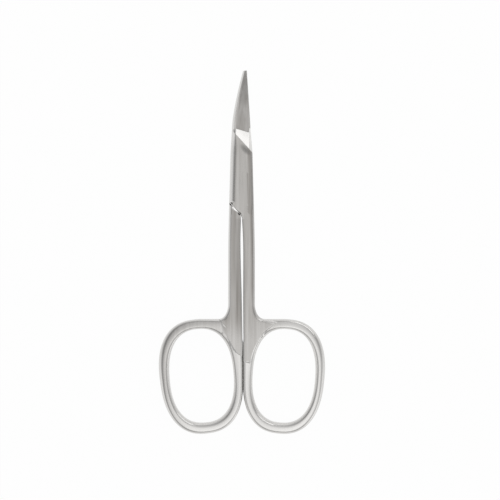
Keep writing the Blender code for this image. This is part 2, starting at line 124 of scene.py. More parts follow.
def bow_tree():
    """Node tree of a bow: a grid wrapped round the hole and round the bar's own section."""
    tree = bpy.data.node_groups.new("Finger bow", "GeometryNodeTree")
    tree.interface.new_socket(name="Bow", in_out="OUTPUT", socket_type="NodeSocketGeometry")
    lengths = ("Hole half width", "Hole half length", "Rim half width", "Rim half length", "Shift across",
               "Shift along", "Centre across", "Centre along", "Hole tilt", "Rim tilt", "Squareness",
               "Bar depth", "Bar fullness", "Top bar flatness", "Bottom bar flatness", "Contact bar flatness",
               "Contact bar turn", "Level side", "Level from", "Level until", "Contact side", "Contact from",
               "Contact reached", "Contact until", "Bar slope")
    for name in lengths:
        tree.interface.new_socket(name=name, in_out="INPUT", socket_type="NodeSocketFloat")
    for name in ("Points round the hole", "Points round the bar"):
        tree.interface.new_socket(name=name, in_out="INPUT", socket_type="NodeSocketInt")
    tree.interface.new_socket(name="Finish", in_out="INPUT", socket_type="NodeSocketMaterial")
    given = tree.nodes.new("NodeGroupInput").outputs
    worked = partial(worked_out, tree)

    def signed_power(value, power):
        return worked("MULTIPLY", worked("SIGN", value), worked("POWER", worked("ABSOLUTE", value), power))

    grid = tree.nodes.new("GeometryNodeMeshGrid")
    tree.links.new(given["Points round the hole"], grid.inputs["Vertices X"])
    tree.links.new(given["Points round the bar"], grid.inputs["Vertices Y"])
    place = tree.nodes.new("ShaderNodeSeparateXYZ")
    tree.links.new(tree.nodes.new("GeometryNodeInputPosition").outputs[0], place.inputs[0])
    turn = worked("MULTIPLY", worked("ADD", place.outputs[0], 0.5), math.tau)
    angle = worked("MULTIPLY", worked("ADD", place.outputs[1], 0.5), math.tau)

    oval_power = worked("DIVIDE", 2.0, given["Squareness"])
    across = signed_power(worked("COSINE", turn), oval_power)
    along = signed_power(worked("SINE", turn), oval_power)

    def turned(side, length, tilt):
        """A point turned clockwise about the bow's centre."""
        cosine, sine = worked("COSINE", tilt), worked("SINE", tilt)
        return (worked("ADD", worked("MULTIPLY", side, cosine), worked("MULTIPLY", length, sine)),
                worked("SUBTRACT", worked("MULTIPLY", length, cosine), worked("MULTIPLY", side, sine)))

    def clamped(value, kept, start, end):
        """The kept value between two turns round the hole, and the value itself elsewhere."""
        inside = worked("MULTIPLY", worked("GREATER_THAN", turn, start), worked("LESS_THAN", turn, end))
        return worked("ADD", value, worked("MULTIPLY", inside, worked("SUBTRACT", kept, value)))

    centre = (given["Centre across"], given["Centre along"])
    hole = turned(worked("MULTIPLY", given["Hole half width"], across),
                  worked("MULTIPLY", given["Hole half length"], along), given["Hole tilt"])
    hole_x, hole_y = (worked("ADD", *pair) for pair in zip(hole, centre))
    rim = turned(worked("MULTIPLY", given["Rim half width"], across),
                 worked("MULTIPLY", given["Rim half length"], along), given["Rim tilt"])
    shift = turned(given["Shift across"], given["Shift along"], given["Hole tilt"])
    rim_x, rim_y = (worked("ADD", worked("ADD", *pair), middle) for *pair, middle in zip(rim, shift, centre))
    reached = tree.nodes.new("ShaderNodeMapRange")
    reached.interpolation_type = "SMOOTHSTEP"
    tree.links.new(turn, reached.inputs["Value"])
    tree.links.new(given["Contact from"], reached.inputs["From Min"])
    tree.links.new(given["Contact reached"], reached.inputs["From Max"])
    drawn = worked("MULTIPLY", reached.outputs["Result"], worked("SUBTRACT", given["Contact side"], rim_x))
    rim_x = clamped(rim_x, worked("ADD", rim_x, drawn), given["Contact from"], given["Contact until"])
    rim_y = clamped(rim_y, given["Level side"], given["Level from"], given["Level until"])

    above = worked("MAXIMUM", worked("SINE", turn), 0.0)
    top_share = worked("POWER", above, TOP_BAR_POWER)
    contact_turn = worked("SUBTRACT", turn, given["Contact bar turn"])
    contact_share = worked("POWER", worked("MAXIMUM", worked("COSINE", contact_turn), 0.0), CONTACT_BAR_POWER)
    flatness = worked("ADD", worked("MULTIPLY", given["Top bar flatness"], top_share),
                      worked("MULTIPLY", given["Contact bar flatness"], contact_share))
    bottom_share = worked("MAXIMUM", worked("SINE", worked("MULTIPLY", turn, -1.0)), 0.0)
    outer_share = worked("GREATER_THAN", worked("COSINE", angle), 0.0)
    bottom = worked("MULTIPLY", given["Bottom bar flatness"], worked("MULTIPLY", bottom_share, outer_share))
    section = worked("ADD", given["Bar fullness"], worked("ADD", flatness, bottom))
    section_power = worked("DIVIDE", 2.0, section)
    out = signed_power(worked("COSINE", angle), section_power)
    up = signed_power(worked("SINE", angle), section_power)

    def barred(hole, rim):
        """A place on the bar's section, between the hole's side and the rim's side."""
        half = worked("MULTIPLY", worked("SUBTRACT", rim, hole), 0.5)
        return worked("ADD", worked("ADD", hole, half), worked("MULTIPLY", half, out))

    spot = tree.nodes.new("ShaderNodeCombineXYZ")
    tree.links.new(barred(hole_x, rim_x), spot.inputs[0])
    tree.links.new(barred(hole_y, rim_y), spot.inputs[1])
    outward = worked("ADD", worked("COSINE", turn), worked("MULTIPLY", above, TOP_BAR_SLOPE))
    slope = worked("MULTIPLY", given["Bar slope"], outward)
    lean = worked("ADD", worked("MULTIPLY", slope, out), worked("ABSOLUTE", slope))
    kept_depth = worked("SUBTRACT", 1.0, worked("MULTIPLY", lean, 0.5))
    half_depth = worked("MULTIPLY", worked("MULTIPLY", given["Bar depth"], 0.5), kept_depth)
    tree.links.new(worked("MULTIPLY", half_depth, up), spot.inputs[2])
    wrap = tree.nodes.new("GeometryNodeSetPosition")
    tree.links.new(grid.outputs["Mesh"], wrap.inputs["Geometry"])
    tree.links.new(spot.outputs[0], wrap.inputs["Position"])
    weld = tree.nodes.new("GeometryNodeMergeByDistance")
    weld.inputs["Distance"].default_value = BOW_WELD
    tree.links.new(wrap.outputs[0], weld.inputs["Geometry"])
    solid = tree.nodes.new("GeometryNodeRealizeInstances")
    tree.links.new(weld.outputs[0], solid.inputs[0])
    finish = tree.nodes.new("GeometryNodeSetMaterial")
    tree.links.new(solid.outputs[0], finish.inputs["Geometry"])
    tree.links.new(given["Finish"], finish.inputs["Material"])
    tree.links.new(finish.outputs[0], tree.nodes.new("NodeGroupOutput").inputs[0])
    return tree


finger_bow = bow_tree()


def plain_mesh(maker, name):
    """The evaluated mesh of an object, welded and with its faces turned outwards."""
    bpy.context.view_layer.update()
    mesh = bpy.data.meshes.new_from_object(maker.evaluated_get(bpy.context.evaluated_depsgraph_get()))
    mesh.name = name
    shape = bmesh.new()
    shape.from_mesh(mesh)
    bmesh.ops.remove_doubles(shape, verts=shape.verts, dist=MESH_WELD)
    bmesh.ops.recalc_face_normals(shape, faces=shape.faces)
    shape.to_mesh(mesh)
    shape.free()
    return mesh


def bow_mesh(bow, name, finish):
    """A bow's mesh in its own half's frame, made by the node tree from that bow's sizes."""
    maker = bpy.data.objects.new(name, bpy.data.meshes.new(name))
    bpy.context.scene.collection.objects.link(maker)
    modifier = maker.modifiers.new("Finger bow", "NODES")
    modifier.node_group = finger_bow
    values = {
        "Hole half width": bow.hole[0], "Hole half length": bow.hole[1],
        "Rim half width": bow.rim[0], "Rim half length": bow.rim[1],
        "Shift across": bow.shift.x, "Shift along": bow.shift.y,
        "Centre across": bow.centre.x, "Centre along": bow.centre.y,
        "Hole tilt": bow.leans[0], "Rim tilt": bow.leans[1],
        "Squareness": BOW_SQUARENESS, "Bar depth": BAR_DEPTH,
        "Bar fullness": BAR_FULLNESS, "Top bar flatness": TOP_BAR_FLATNESS,
        "Bottom bar flatness": BOTTOM_BAR_FLATNESS,
        "Contact bar flatness": CONTACT_BAR_FLATNESS, "Contact bar turn": CONTACT_BAR_TURN,
        "Level side": bow.top, "Level from": bow.top_turn, "Level until": LEVEL_UNTIL,
        "Contact side": bow.contact, "Contact from": CONTACT_BLEND[0], "Contact reached": CONTACT_BLEND[1],
        "Contact until": bow.contact_turn, "Bar slope": BAR_SLOPE,
        "Points round the hole": BOW_POINTS + 1, "Points round the bar": BAR_POINTS + 1, "Finish": finish,
    }
    for socket in finger_bow.interface.items_tree:
        if socket.name in values:
            modifier[socket.identifier] = values[socket.name]
    mesh = plain_mesh(maker, name)
    bpy.data.objects.remove(maker, do_unlink=True)
    return mesh


# Satin steel of the halves
# Stainless steel, ground lengthwise on its flat faces and polished on its rounded edges and bows. The
# grinding leaves fine streaks, and use leaves small scratches, faint smudges and edges that are rubbed a
# little brighter.
POLISHED_STEEL = (0.66, 0.65, 0.635, 1.0)
GROUND_STEEL = (0.400, 0.386, 0.369, 1.0)
RUBBED_STEEL = (0.72, 0.71, 0.70, 1.0)
# Near-black of painted shade beside the slit, between the bows, in the shoulder's nicks and below the ridge.
PAINTED_SHADE = (0.15, 0.146, 0.14, 1.0)
GROUND_ROUGHNESS = 0.28
POLISHED_ROUGHNESS = 0.16
SMUDGE_ROUGHNESS = 0.05
SCRATCH_ROUGHNESS = 0.06
EDGE_SMOOTHNESS = 0.03
STREAK_TONE = 0.3
STREAK_LEVELS = (0.25, 0.75)
SCRATCH_LEVELS = (0.66, 0.72)
SMUDGE_LEVELS = (0.4, 0.75)
EDGE_WEAR = (0.35, 0.65, 0.4, 0.9)
# How the pits noise breaks up the painted shade.
PAINTED_SHADE_COVER = (0.3, 0.7, 0.8, 1.0)
BROAD_STREAK_DEPTH = 0.8
PIT_DEPTH = 0.25
SCRATCH_DEPTH = 0.4
BUMP_STRENGTH = 0.35
BUMP_DISTANCE = 0.000006

Pattern = namedtuple("Pattern", "stretch turn fineness detail")
FINE_STREAKS = Pattern(0.018, 0.0, 9000.0, 2.0)
BROAD_STREAKS = Pattern(0.03, 0.02, 1700.0, 3.0)
SCRATCHES = Pattern(0.05, 0.7, 2600.0, 1.0)
SMUDGES = Pattern(1.0, 0.0, 95.0, 3.0)
PITS = Pattern(1.0, 0.0, 5200.0, 2.0)


def steel_finish(name, polished, satin, rubbed):
    """Steel whose tone and roughness follow the marks on its mesh: ground, edge and painted shade, which
    darkens it to a near-black.
    """
    material = bpy.data.materials.new(name)
    material.use_nodes = True
    nodes, links = material.node_tree.nodes, material.node_tree.links
    worked = partial(worked_out, material.node_tree)
    shader = nodes["Principled BSDF"]
    shader.inputs["Metallic"].default_value = 1.0
    place = nodes.new("ShaderNodeTexCoord").outputs["Object"]

    def noise(pattern):
        mapping = nodes.new("ShaderNodeMapping")
        mapping.inputs["Scale"].default_value = (1.0, pattern.stretch, 1.0)
        mapping.inputs["Rotation"].default_value = (0.0, 0.0, pattern.turn)
        links.new(place, mapping.inputs["Vector"])
        texture = nodes.new("ShaderNodeTexNoise")
        texture.inputs["Scale"].default_value = pattern.fineness
        texture.inputs["Detail"].default_value = pattern.detail
        links.new(mapping.outputs[0], texture.inputs["Vector"])
        return texture.outputs["Fac"]

    def ranged(value, low, high, new_low=0.0, new_high=1.0):
        node = nodes.new("ShaderNodeMapRange")
        for socket, number in zip(node.inputs[1:5], (low, high, new_low, new_high)):
            socket.default_value = number
        links.new(value, node.inputs["Value"])
        return node.outputs["Result"]

    def mark(attribute):
        node = nodes.new("ShaderNodeAttribute")
        node.attribute_name = attribute
        return node.outputs["Fac"]

    def mixed(share, first, second):
        node = nodes.new("ShaderNodeMix")
        node.data_type = "RGBA"
        node.clamp_factor = False
        links.new(share, node.inputs[0])
        for socket, value in zip(node.inputs[6:8], (first, second)):
            if isinstance(value, tuple):
                socket.default_value = value
            else:
                links.new(value, socket)
        return node.outputs[2]

    ground, edge, painted_shade = mark("ground"), mark("edge"), mark("painted_shade")
    fine_streaks, broad_streaks = noise(FINE_STREAKS), noise(BROAD_STREAKS)
    scratches = ranged(noise(SCRATCHES), *SCRATCH_LEVELS)
    smudges = ranged(noise(SMUDGES), *SMUDGE_LEVELS)
    pits = noise(PITS)

    streak_tone = ranged(broad_streaks, *STREAK_LEVELS, -STREAK_TONE, STREAK_TONE)
    tone = mixed(worked("ADD", ground, worked("MULTIPLY", streak_tone, ground)), polished, satin)
    tone = mixed(worked("MULTIPLY", edge, ranged(pits, *EDGE_WEAR)), tone, rubbed)
    # Painted shade: the tone goes to a near-black where the shade mark is set, broken up by the pits noise.
    tone = mixed(worked("MULTIPLY", painted_shade, ranged(pits, *PAINTED_SHADE_COVER)), tone, PAINTED_SHADE)
    links.new(tone, shader.inputs["Base Color"])

    rough = ranged(ground, 0.0, 1.0, POLISHED_ROUGHNESS, GROUND_ROUGHNESS)
    rough = worked("ADD", rough, worked("MULTIPLY", smudges, SMUDGE_ROUGHNESS))
    rough = worked("ADD", rough, worked("MULTIPLY", scratches, SCRATCH_ROUGHNESS))
    rough = worked("SUBTRACT", rough, worked("MULTIPLY", edge, EDGE_SMOOTHNESS))
    links.new(rough, shader.inputs["Roughness"])

    streaks = worked("ADD", fine_streaks, worked("MULTIPLY", broad_streaks, BROAD_STREAK_DEPTH))
    height = worked("ADD", worked("MULTIPLY", streaks, ground), worked("MULTIPLY", pits, PIT_DEPTH))
    height = worked("SUBTRACT", height, worked("MULTIPLY", scratches, SCRATCH_DEPTH))
    bump = nodes.new("ShaderNodeBump")
    bump.inputs["Strength"].default_value = BUMP_STRENGTH
    bump.inputs["Distance"].default_value = BUMP_DISTANCE
    links.new(height, bump.inputs["Height"])
    links.new(bump.outputs["Normal"], shader.inputs["Normal"])
    return material


halves_steel = steel_finish("satin_steel", POLISHED_STEEL, GROUND_STEEL, RUBBED_STEEL)


# Front half
# One forging: front blade, front leaf of the lap joint, right-hand shank, web and bow. The leaf has broad
# rounded edges, the blade is ground off in one slanting face beyond a short ramp, and the shank is flat.
PIVOT = Vector((-0.0001126, 0.017, THICKNESS / 2))
LEAF_TOP = THICKNESS / 2
LEAF_FLOOR = 0.00015
BLADE_HOLLOW = 0.00002
BLADE_LENGTH = 0.028
BLADE_RISE = 0.0042
BEND_START = 0.0095
SPINE_HEIGHT_ROOT = 0.00115
SPINE_HEIGHT_TIP = 0.00055
EDGE_HEIGHT = 0.0003
RAMP_END_SPINE = 0.014
RAMP_END_EDGE = 0.0129
RIDGE_SPINE = 0.0134
RIDGE_EDGE = 0.0086
EDGE_ROOT = 0.00195
SPINE_BEVEL_ROOT = (0.00068, 0.00106, 1.35)
SPINE_BEVEL_TIP = (0.0005, 0.0005, 1.3)
TIP_SLANT = 0.0001
JOINT_HALF_WIDTH = 0.00293
JOINT_TAPER = 0.026
JOINT_FULL_WIDTH_FROM = 0.0079
JOINT_LEAF_END = 0.0074
JOINT_SOLID_END = 0.0069
JOINT_LEFT_ROUND = (0.0015, 0.0011, 1.5)
JOINT_RIGHT_ROUND = (0.0023, 0.0006, 3.0)
SIDE_ROUND = (0.0007, 0.0007, 1.7)
CONTACT_ROUND = (0.0006, 0.0009, 2.0)
FINE_ROUND = (0.00024, 0.00024, 2.0)
KEEN_ROUND = (0.00006, 0.00006, 2.0)
SHOULDER_OUTER = 0.0043
SHOULDER_INNER = 0.0076
SHOULDER_INNER_SIDE = 0.0001
SHOULDER_EDGE_SHARE = 0.15
SHOULDER_GAP = 0.00016
SHOULDER_CHAMFER_WIDTH = 0.0006
SHOULDER_CHAMFER_LEAST = 0.00004
SHOULDER_CHAMFER_SLOPE = 0.42
SHOULDER_CHAMFER_LEANING = 1.2
SHOULDER_CHAMFER_POWER = 3
SHOULDER_OVERRUN = 0.001
SHOULDER_STEPS = 24
SHANK_HALF_WIDTH = 0.00331
SHANK_WIDE_FROM = 0.0193
SHANK_CROWN = 0.000025
SLIT_START = 0.0084
SLIT_END = 0.0394
SLIT_WIDTH = 0.00068
SLIT_BULGE_POWER = 3
SLIT_END_WIDTH = 0.00028
SLIT_CLOSING = 0.0012
FLARE_WIDTH = 0.0023
FLARE_HEIGHT = 0.0037
FLARE_FAN = 0.0045
FLARE_ROUND = (0.0011, 0.0007, 1.7)
WEB_COVER = 0.0004
WEB_POINT_COVER = 0.001
WEB_POINT_ROUND = (0.0022, 0.0002, 2.0)
WEB_DROP = 0.00062
WEB_FULLNESS = 1.3
WEB_NARROWING_POWER = 7
WEB_WIDENING_FROM = 0.5
WEB_END_DROP = 0.0005
WEB_DIVE_SHARE = 0.09
WEB_SATIN_SHARE = 0.63
WEB_SATIN_FADE = (0.0315, 0.0395)
# Past 1, the front half's rounded right flank is painted darker than the ground steel: painted shade.
FLANK_SATIN_AND_SHADE = 1.2
FRONT_SATIN = 0.83
REAR_SATIN = 1.2
FLARE_SATIN = 0.9
BLADE_SATIN_FROM = 0.83
BLADE_SATIN_FADE = 0.04
BEVEL_LEAN = -0.05
FLANK_FROM = 0.0015
FLAT_DEPTH = 0.00001
FLAT_UPRIGHT = 0.999
JOINT_SATIN_LIMITS = (0.0003, 0.9)
SHOULDER_SATIN_LIMITS = (0.000075, 0.955)
SHANK_SATIN_LIMITS = (0.000045, 0.98)
BAR_SATIN_LIMITS = (0.000045, 0.9)
BAR_SATIN = 0.5
FRONT_BAR_SATIN_TURN = math.radians(115)
FRONT_BAR_SATIN_REACH = math.radians(35)
REAR_BAR_SATIN_TURN = math.radians(50)
REAR_BAR_SATIN_MIDDLE = 0.5
REAR_BAR_SATIN_SWING = 0.9
MARK_MARGIN = 0.00002
EDGE_RUBBING = 2.5
# Painted shade along the slit's edges, in the groove where the bows meet, and in a broad band beside the slit
# on the rear half.
SLIT_PAINTED_SHADE = 0.4
SLIT_PAINTED_SHADE_WIDTH = 0.0005
SLIT_PAINTED_SHADE_LENGTH = 0.012
SLIT_PAINTED_SHADE_FULLNESS = 1.25
CONTACT_PAINTED_SHADE = 0.4
CONTACT_PAINTED_SHADE_FADE = 0.005
BROAD_PAINTED_SHADE = 0.3
BROAD_PAINTED_SHADE_WIDTH = 0.0022
BROAD_PAINTED_SHADE_END = 0.036
BROAD_PAINTED_SHADE_FADE = 0.008
# Painted shade in a patch below the ridge's right end.
RIDGE_PAINTED_SHADE = 0.85
RIDGE_PAINTED_SHADE_PLACE = (0.00105, 0.0085)
RIDGE_PAINTED_SHADE_SIZE = (0.0019, 0.0009)
NICK_RADIUS = 0.00044
NICK_SIDES = 20
NICK_OVERCUT = 0.0002
# Painted shade in the shoulder's nicks.
NICK_PAINTED_SHADE = 0.95
NICK_PAINTED_SHADE_SPREAD = 2
SCREW_RADIUS = 0.0011
HEAD_RADIUS = 0.0017
HEAD_NECK = 0.00066
HEAD_RIM = 0.00016
RUNNING_CLEARANCE = 0.00008
FRONT_SKIN = 0.0003
BORE_CHAMFER = 0.0001
TURNED_STEPS = 96
TURNED_WELD = 0.0000005
SHARP_ANGLE = math.radians(32)
CORNER_STEPS = 12
FLAT_STEPS = 8
BLADE_STEPS = 110
RAMP_STEPS = 26
JOINT_STEPS = 14
SHANK_STEPS = 40
FLARE_STEPS = 14
WEB_STEPS = 60
OVERCUT = 0.001

Station = namedtuple("Station", "left right tops floors corners crown")
Web = namedtuple("Web", "flat_end start_turn end_turn side_round end_round point_reach point_depth")
Nick = namedtuple("Nick", "across along depth tip")
SHOULDER_NICKS = (Nick(-0.00262, -0.00492, 0.0016, 0.00008), Nick(-0.00046, -0.00735, 0.0006, 0.00002))


def limited(value):
    """The value, kept between 0 and 1."""
    return min(max(value, 0.0), 1.0)


def between(start, end, share):
    return start + (end - start) * share


def pair_between(start, end, share):
    return tuple(between(first, second, share) for first, second in zip(start, end))


def stations_between(start, end, count):
    """Stations on the straight way from one station to the next, the first one left out."""
    found = []
    for step in range(1, count + 1):
        share = step / count
        corners = tuple(pair_between(*pair, share) for pair in zip(start.corners, end.corners))
        tops = pair_between(start.tops, end.tops, share)
        floors = pair_between(start.floors, end.floors, share)
        found.append(Station(start.left.lerp(end.left, share), start.right.lerp(end.right, share), tops,
                             floors, corners, between(start.crown, end.crown, share)))
    return found


def slit_side(height, facing):
    """The half's side of the slit at a distance below the pivot: widest near its upper end."""
    share = limited((height - SLIT_START) / (SLIT_END - SLIT_START))
    bulge = math.sin(math.pi * math.sqrt(share)) ** SLIT_BULGE_POWER
    closing = limited((height - SLIT_END) / SLIT_CLOSING + 1)
    width = between(between(SLIT_END_WIDTH, SLIT_WIDTH, bulge), CONTACT_GAP, closing ** 2)
    return Vector((facing * CONTACT_SIDE * share + width / 2, -height))


def outer_side(height):
    """Half the width of the joint and the shank at a distance below the pivot."""
    upper = JOINT_HALF_WIDTH + JOINT_TAPER * min(height, SHOULDER_OUTER)
    share = limited((height - SHOULDER_OUTER) / (SHANK_WIDE_FROM - SHOULDER_OUTER))
    return between(upper, SHANK_HALF_WIDTH, math.sin(share * math.pi / 2))


def rise(spot):
    """Height that the bend gives a point of a blade, by its distance from the pivot only."""
    reach = max(math.hypot(spot.x, spot.y) - BEND_START, 0.0) if spot.y > 0 else 0.0
    length = BLADE_LENGTH - BEND_START
    radius = (length ** 2 + BLADE_RISE ** 2) / (2 * BLADE_RISE)
    return radius - math.sqrt(radius ** 2 - reach ** 2)


def blade_stations(spine_line, edge_line):
    """Stations from the tip to the ramp. A line holds its side at the ramp and at the tip, and its power."""
    floor = LEAF_FLOOR + BLADE_HOLLOW
    found = []
    for step in range(BLADE_STEPS + 1):
        share = 1 - step / BLADE_STEPS
        spine = Vector((between(*spine_line[:2], share ** spine_line[2]),
                        between(RAMP_END_SPINE, BLADE_LENGTH - TIP_SLANT, share)))
        edge = Vector((between(*edge_line[:2], share ** edge_line[2]),
                       between(RAMP_END_EDGE, BLADE_LENGTH, share)))
        tops = (floor + between(SPINE_HEIGHT_ROOT, SPINE_HEIGHT_TIP, share), floor + EDGE_HEIGHT)
        corners = (pair_between(SPINE_BEVEL_ROOT, SPINE_BEVEL_TIP, share), KEEN_ROUND, KEEN_ROUND, KEEN_ROUND)
        found.append(Station(spine, edge, tops, (floor, floor), corners, 0.0))
    return found


def joint_stations(ramp_foot, spine_root, edge_root):
    """Stations up the ramp to the ridge, and down the leaf to the inner end of the shoulder."""
    tops = (LEAF_TOP, LEAF_TOP)
    leaf = (LEAF_FLOOR + BLADE_HOLLOW,) * 2
    solid = (-LEAF_TOP, -LEAF_TOP)
    ridge_spine = spine_root - JOINT_TAPER * (RAMP_END_SPINE - RIDGE_SPINE)
    ridge = Station(Vector((ridge_spine, RIDGE_SPINE)), Vector((edge_root, RIDGE_EDGE)), tops, leaf,
                    (JOINT_LEFT_ROUND, KEEN_ROUND, KEEN_ROUND, KEEN_ROUND), 0.0)
    waist_left = Vector((ridge_spine - outer_side(-JOINT_LEAF_END), RIDGE_SPINE + JOINT_FULL_WIDTH_FROM)) / 2
    waist_right = Vector((outer_side(-JOINT_FULL_WIDTH_FROM), JOINT_FULL_WIDTH_FROM))
    leaf_corners = (JOINT_LEFT_ROUND, JOINT_RIGHT_ROUND, KEEN_ROUND, KEEN_ROUND)
    solid_corners = (JOINT_LEFT_ROUND, JOINT_RIGHT_ROUND, SIDE_ROUND, FINE_ROUND)
    inner_corners = (FINE_ROUND, SIDE_ROUND, SIDE_ROUND, FINE_ROUND)
    keys = [ridge, Station(waist_left, waist_right, tops, leaf, leaf_corners, 0.0)]
    for height, floors, corners in ((-JOINT_LEAF_END, leaf, leaf_corners),
                                    (-JOINT_SOLID_END, solid, solid_corners),
                                    (0.0, solid, solid_corners), (SHOULDER_OUTER, solid, solid_corners)):
        side = outer_side(height)
        keys.append(Station(Vector((-side, -height)), Vector((side, -height)), tops, floors, corners, 0.0))
    outer = keys[-1]
    inner = Station(Vector((-SHOULDER_INNER_SIDE, -SHOULDER_INNER)),
                    Vector((outer_side(SHOULDER_INNER), -SHOULDER_INNER)), tops, solid, inner_corners,
                    SHANK_CROWN)
    edge = Station(outer.left.lerp(inner.left, SHOULDER_EDGE_SHARE),
                   outer.right.lerp(inner.right, SHOULDER_EDGE_SHARE), tops, solid,
                   (FINE_ROUND,) + solid_corners[1:], 0.0)
    keys += [edge, inner]
    found = stations_between(ramp_foot, ridge, RAMP_STEPS)
    for start, end in zip(keys, keys[1:]):
        found += stations_between(start, end, JOINT_STEPS)
    return found


def full_station(left, right, left_round=FINE_ROUND, right_round=SIDE_ROUND, drop=0.0, crown=0.0):
    """A station of the whole thickness, with both faces lowered by the drop."""
    corners = (left_round, right_round, right_round, left_round)
    return Station(left, right, (LEAF_TOP - drop,) * 2, (drop - LEAF_TOP,) * 2, corners, crown)


def shank_stations(facing, bow):
    """Stations down the shank beside the slit, and round the flare that leads into the web."""
    flare = Vector((SHANK_HALF_WIDTH + FLARE_WIDTH, bow.top + FLARE_HEIGHT))
    found = []
    for step in range(SHANK_STEPS + 1):
        height = between(SLIT_START, -flare.y, step / SHANK_STEPS)
        found.append(full_station(slit_side(height, facing), Vector((outer_side(height), -height)),
                                  crown=SHANK_CROWN))
    for step in range(1, FLARE_STEPS + 1):
        share = step / FLARE_STEPS
        turn = math.pi * (1 + share / 2)
        right = flare + Vector((FLARE_WIDTH * math.cos(turn), FLARE_HEIGHT * math.sin(turn)))
        left = slit_side(between(-flare.y, FLARE_FAN - bow.top, share), facing)
        right_round = pair_between(SIDE_ROUND, FLARE_ROUND, share)
        found.append(full_station(left, right, right_round=right_round, crown=SHANK_CROWN * (1 - share)))
    return found


def web_stations(facing, bow, web):
    """Stations that fan out from the slit to the bow's bar and sink into the bar at their end."""
    point = Vector((SHANK_HALF_WIDTH + FLARE_WIDTH + web.point_reach, bow.top - web.point_depth))
    spots = [(point, WEB_POINT_ROUND)]
    for step in range(WEB_STEPS + 1):
        share = step / WEB_STEPS
        widening = max(0.0, (share - WEB_WIDENING_FROM) / (1 - WEB_WIDENING_FROM)) ** 2
        side = (between(web.side_round, web.end_round, widening), WEB_DROP, WEB_FULLNESS)
        narrowing = (1 - share) ** WEB_NARROWING_POWER
        turn = between(web.start_turn, web.end_turn, share)
        cover = between(WEB_COVER, WEB_POINT_COVER, narrowing)
        spots.append((bow.bar_point(turn, cover), pair_between(side, WEB_POINT_ROUND, narrowing)))
    found = []
    for index, (spot, right_round) in enumerate(spots, start=1):
        share = index / len(spots)
        height = between(FLARE_FAN - bow.top, web.flat_end, share)
        closing = limited((height - SLIT_END) / (web.flat_end - SLIT_END))
        left_round = pair_between(FINE_ROUND, CONTACT_ROUND, closing)
        drop = WEB_END_DROP * max(0.0, 1 - (1 - share) / WEB_DIVE_SHARE) ** 2
        found.append(full_station(slit_side(height, facing), spot, left_round, right_round, drop))
    return found


def corner(width, drop, fullness):
    """Points of a rounded edge from a side to a flat: fullness 1 is a straight chamfer, 2 an ellipse."""
    turns = [math.pi / 2 * step / CORNER_STEPS for step in range(CORNER_STEPS + 1)]
    power = 2 / fullness
    return [(width * (1 - max(math.cos(turn), 0.0) ** power), drop * (1 - math.sin(turn) ** power))
            for turn in turns]


def section_points(section, facing):
    """The closed ring of points of a station, starting at its left side and going over the top."""
    across = section.right - section.left
    width = across.length
    top_left, top_right, floor_right, floor_left = section.corners

    def top_at(distance, drop):
        return distance, between(*section.tops, distance / width) - drop

    def floor_at(distance, lift):
        return distance, between(*section.floors, distance / width) + lift

    shares = [step / FLAT_STEPS for step in range(1, FLAT_STEPS)]
    flat = [(share, section.crown * (2 * share - 1) ** 2) for share in shares]
    ring = [top_at(inset, drop + section.crown) for inset, drop in corner(*top_left)]
    ring += [top_at(between(top_left[0], width - top_right[0], share), sunk) for share, sunk in flat]
    ring += [top_at(width - inset, drop + section.crown) for inset, drop in reversed(corner(*top_right))]
    ring += [floor_at(width - inset, lift + section.crown) for inset, lift in corner(*floor_right)]
    ring += [floor_at(between(width - floor_right[0], floor_left[0], share), sunk) for share, sunk in flat]
    ring += [floor_at(inset, lift + section.crown) for inset, lift in reversed(corner(*floor_left))]
    points = []
    for distance, height in ring:
        spot = section.left + across * distance / width
        points.append(Vector((spot.x, spot.y, height + facing * rise(spot))))
    return points


def mesh_of(shape, name):
    mesh = bpy.data.meshes.new(name)
    shape.to_mesh(mesh)
    shape.free()
    return mesh


def lofted(name, rings):
    """A closed skin over rings of points, capped at both ends."""
    shape = bmesh.new()
    loops = [[shape.verts.new(point) for point in ring] for ring in rings]
    count = len(loops[0])
    for upper, lower in zip(loops, loops[1:]):
        for index in range(count):
            following = (index + 1) % count
            shape.faces.new((upper[index], upper[following], lower[following], lower[index]))
    shape.faces.new(reversed(loops[0]))
    shape.faces.new(loops[-1])
    bmesh.ops.recalc_face_normals(shape, faces=shape.faces)
    return mesh_of(shape, name)


def lathed(name, profile):
    """A closed shape turned from a profile of radii and heights, which starts and ends at radius 0."""
    shape = bmesh.new()
    loops = []
    for step in range(TURNED_STEPS):
        turn = math.tau * step / TURNED_STEPS
        loops.append([shape.verts.new((radius * math.cos(turn), radius * math.sin(turn), height))
                      for radius, height in profile])
    for here, there in zip(loops, loops[1:] + loops[:1]):
        for index in range(len(profile) - 1):
            shape.faces.new((here[index], here[index + 1], there[index + 1], there[index]))
    bmesh.ops.remove_doubles(shape, verts=shape.verts, dist=TURNED_WELD)
    bmesh.ops.recalc_face_normals(shape, faces=shape.faces)
    return mesh_of(shape, name)


def add_object(name, mesh):
    item = bpy.data.objects.new(name, mesh)
    bpy.context.scene.collection.objects.link(item)
    return item


